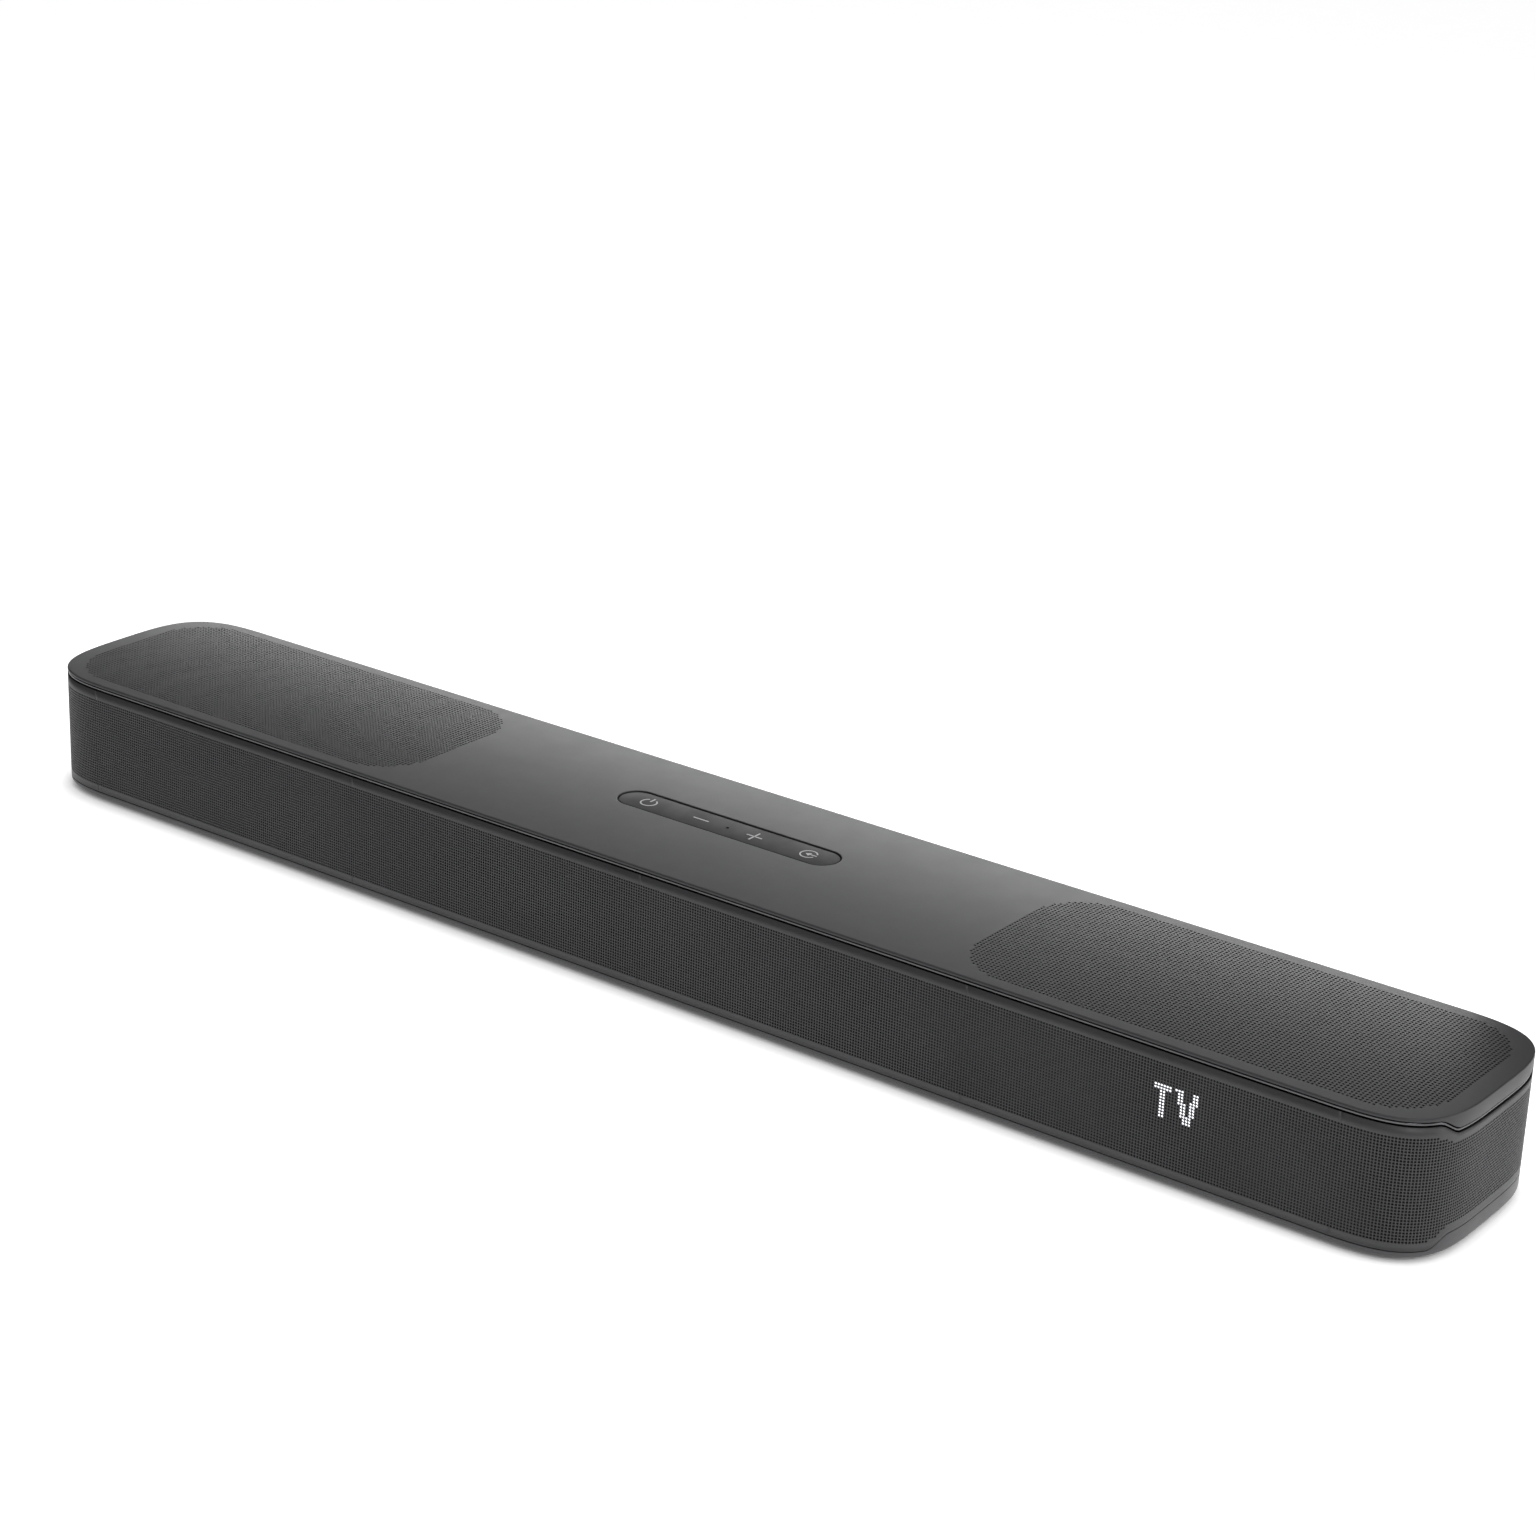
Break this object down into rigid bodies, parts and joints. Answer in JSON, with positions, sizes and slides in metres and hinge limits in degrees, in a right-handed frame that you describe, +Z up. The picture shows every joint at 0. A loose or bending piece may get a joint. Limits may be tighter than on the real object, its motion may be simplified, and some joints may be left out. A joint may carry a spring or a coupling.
{
  "type": "soundbar",
  "caption": "Compact soundbar with a wrap-round perforated grille, satin top cover with a recessed capsule key strip, sprung driver cones and a rear socket bay.",
  "frame": {"origin": "middle of the footprint, at the level of the feet", "axes": "+X along the bar towards its right end as seen from the front, -Y out of the front grille, +Z up"},
  "size_m": [0.709, 0.101, 0.058],
  "materials": {
    "satin_cover": "satin",
    "bright_edge": "satin edge",
    "black_steel": "black powder coat",
    "satin_base": "satin",
    "inner_plastic": "matt",
    "key_skin": "satin",
    "cone_paper": "coated paper",
    "diaphragm_metal": "black anodised",
    "soft_rubber": "matt",
    "driver_steel": "zinc and black",
    "board_green": "solder mask",
    "winding_yellow": "tape",
    "bare_aluminium": "extruded",
    "plated_steel": "plated",
    "smoked_diffuser": "dark tinted",
    "brass": "turned"
  },
  "bodies": {
    "housing": {"av_input_socket": "plated_steel", "av_output_socket": "plated_steel", "base_cover": "satin_base", "centre_driver_frame": "driver_steel", "centre_driver_surround": "soft_rubber", "display_board": "board_green", "display_diffuser": "smoked_diffuser", "enclosure": "inner_plastic", "front_left_foot": "soft_rubber", "front_right_foot": "soft_rubber", "heat_sink": "bare_aluminium", "key_board": "board_green", "key_seat": "inner_plastic", "keypad_skin": "key_skin", "left_base_passive_surround": "soft_rubber", "left_driver_frame": "driver_steel", "left_driver_surround": "soft_rubber", "left_end_driver_frame": "driver_steel", "left_end_driver_surround": "soft_rubber", "left_mount_insert": "brass", "left_top_passive_surround": "soft_rubber", "main_board": "board_green", "microphone": "plated_steel", "network_socket": "plated_steel", "optical_socket": "inner_plastic", "power_inlet": "inner_plastic", "power_supply_board": "board_green", "rear_left_foot": "soft_rubber", "rear_panel": "satin_base", "rear_right_foot": "soft_rubber", "remote_receiver": "inner_plastic", "right_base_passive_surround": "soft_rubber", "right_driver_frame": "driver_steel", "right_driver_surround": "soft_rubber", "right_end_driver_frame": "driver_steel", "right_end_driver_surround": "soft_rubber", "right_mount_insert": "brass", "right_top_passive_surround": "soft_rubber", "service_socket": "plated_steel", "socket_bay": "inner_plastic", "socket_plate": "inner_plastic", "top_cover": "satin_cover", "top_deck": "inner_plastic", "transformer": "winding_yellow", "trim_lip": "bright_edge", "wireless_module": "plated_steel", "wrap_grille": "black_steel"},
    "left_driver_cone": {"left_driver_cone": "cone_paper"},
    "centre_driver_cone": {"centre_driver_cone": "cone_paper"},
    "right_driver_cone": {"right_driver_cone": "cone_paper"},
    "left_end_driver_cone": {"left_end_driver_cone": "cone_paper"},
    "right_end_driver_cone": {"right_end_driver_cone": "cone_paper"},
    "left_top_passive_diaphragm": {"left_top_passive_diaphragm": "diaphragm_metal"},
    "right_top_passive_diaphragm": {"right_top_passive_diaphragm": "diaphragm_metal"},
    "left_base_passive_diaphragm": {"left_base_passive_diaphragm": "diaphragm_metal"},
    "right_base_passive_diaphragm": {"right_base_passive_diaphragm": "diaphragm_metal"},
    "power_key": {"power_key": "inner_plastic"},
    "volume_down_key": {"volume_down_key": "inner_plastic"},
    "volume_up_key": {"volume_up_key": "inner_plastic"},
    "source_key": {"source_key": "inner_plastic"}
  },
  "joints": [
    {"name": "power_key_press", "type": "slide", "parent": "housing", "child": "power_key", "axis": [0, 0, 1], "range_m": [-0.0004, 0], "stiffness_N_per_m": 2500, "deforming": ["keypad_skin"]},
    {"name": "volume_down_key_press", "type": "slide", "parent": "housing", "child": "volume_down_key", "axis": [0, 0, 1], "range_m": [-0.0004, 0], "stiffness_N_per_m": 2500, "deforming": ["keypad_skin"]},
    {"name": "volume_up_key_press", "type": "slide", "parent": "housing", "child": "volume_up_key", "axis": [0, 0, 1], "range_m": [-0.0004, 0], "stiffness_N_per_m": 2500, "deforming": ["keypad_skin"]},
    {"name": "source_key_press", "type": "slide", "parent": "housing", "child": "source_key", "axis": [0, 0, 1], "range_m": [-0.0004, 0], "stiffness_N_per_m": 2500, "deforming": ["keypad_skin"]},
    {"name": "left_driver_stroke", "type": "slide", "parent": "housing", "child": "left_driver_cone", "axis": [0, -1, 0], "range_m": [-0.0025, 0.0025], "stiffness_N_per_m": 900, "deforming": ["left_driver_surround"]},
    {"name": "centre_driver_stroke", "type": "slide", "parent": "housing", "child": "centre_driver_cone", "axis": [0, -1, 0], "range_m": [-0.0025, 0.0025], "stiffness_N_per_m": 900, "deforming": ["centre_driver_surround"]},
    {"name": "right_driver_stroke", "type": "slide", "parent": "housing", "child": "right_driver_cone", "axis": [0, -1, 0], "range_m": [-0.0025, 0.0025], "stiffness_N_per_m": 900, "deforming": ["right_driver_surround"]},
    {"name": "left_end_driver_stroke", "type": "slide", "parent": "housing", "child": "left_end_driver_cone", "axis": [-1, 0, 0], "range_m": [-0.0025, 0.0025], "stiffness_N_per_m": 900, "deforming": ["left_end_driver_surround"]},
    {"name": "right_end_driver_stroke", "type": "slide", "parent": "housing", "child": "right_end_driver_cone", "axis": [1, 0, 0], "range_m": [-0.0025, 0.0025], "stiffness_N_per_m": 900, "deforming": ["right_end_driver_surround"]},
    {"name": "left_top_passive_stroke", "type": "slide", "parent": "housing", "child": "left_top_passive_diaphragm", "axis": [0, 0, 1], "range_m": [-0.004, 0.004], "stiffness_N_per_m": 700, "deforming": ["left_top_passive_surround"]},
    {"name": "right_top_passive_stroke", "type": "slide", "parent": "housing", "child": "right_top_passive_diaphragm", "axis": [0, 0, 1], "range_m": [-0.004, 0.004], "stiffness_N_per_m": 700, "deforming": ["right_top_passive_surround"]},
    {"name": "left_base_passive_stroke", "type": "slide", "parent": "housing", "child": "left_base_passive_diaphragm", "axis": [0, 0, -1], "range_m": [-0.004, 0.004], "stiffness_N_per_m": 700, "deforming": ["left_base_passive_surround"]},
    {"name": "right_base_passive_stroke", "type": "slide", "parent": "housing", "child": "right_base_passive_diaphragm", "axis": [0, 0, -1], "range_m": [-0.004, 0.004], "stiffness_N_per_m": 700, "deforming": ["right_base_passive_surround"]}
  ]
}
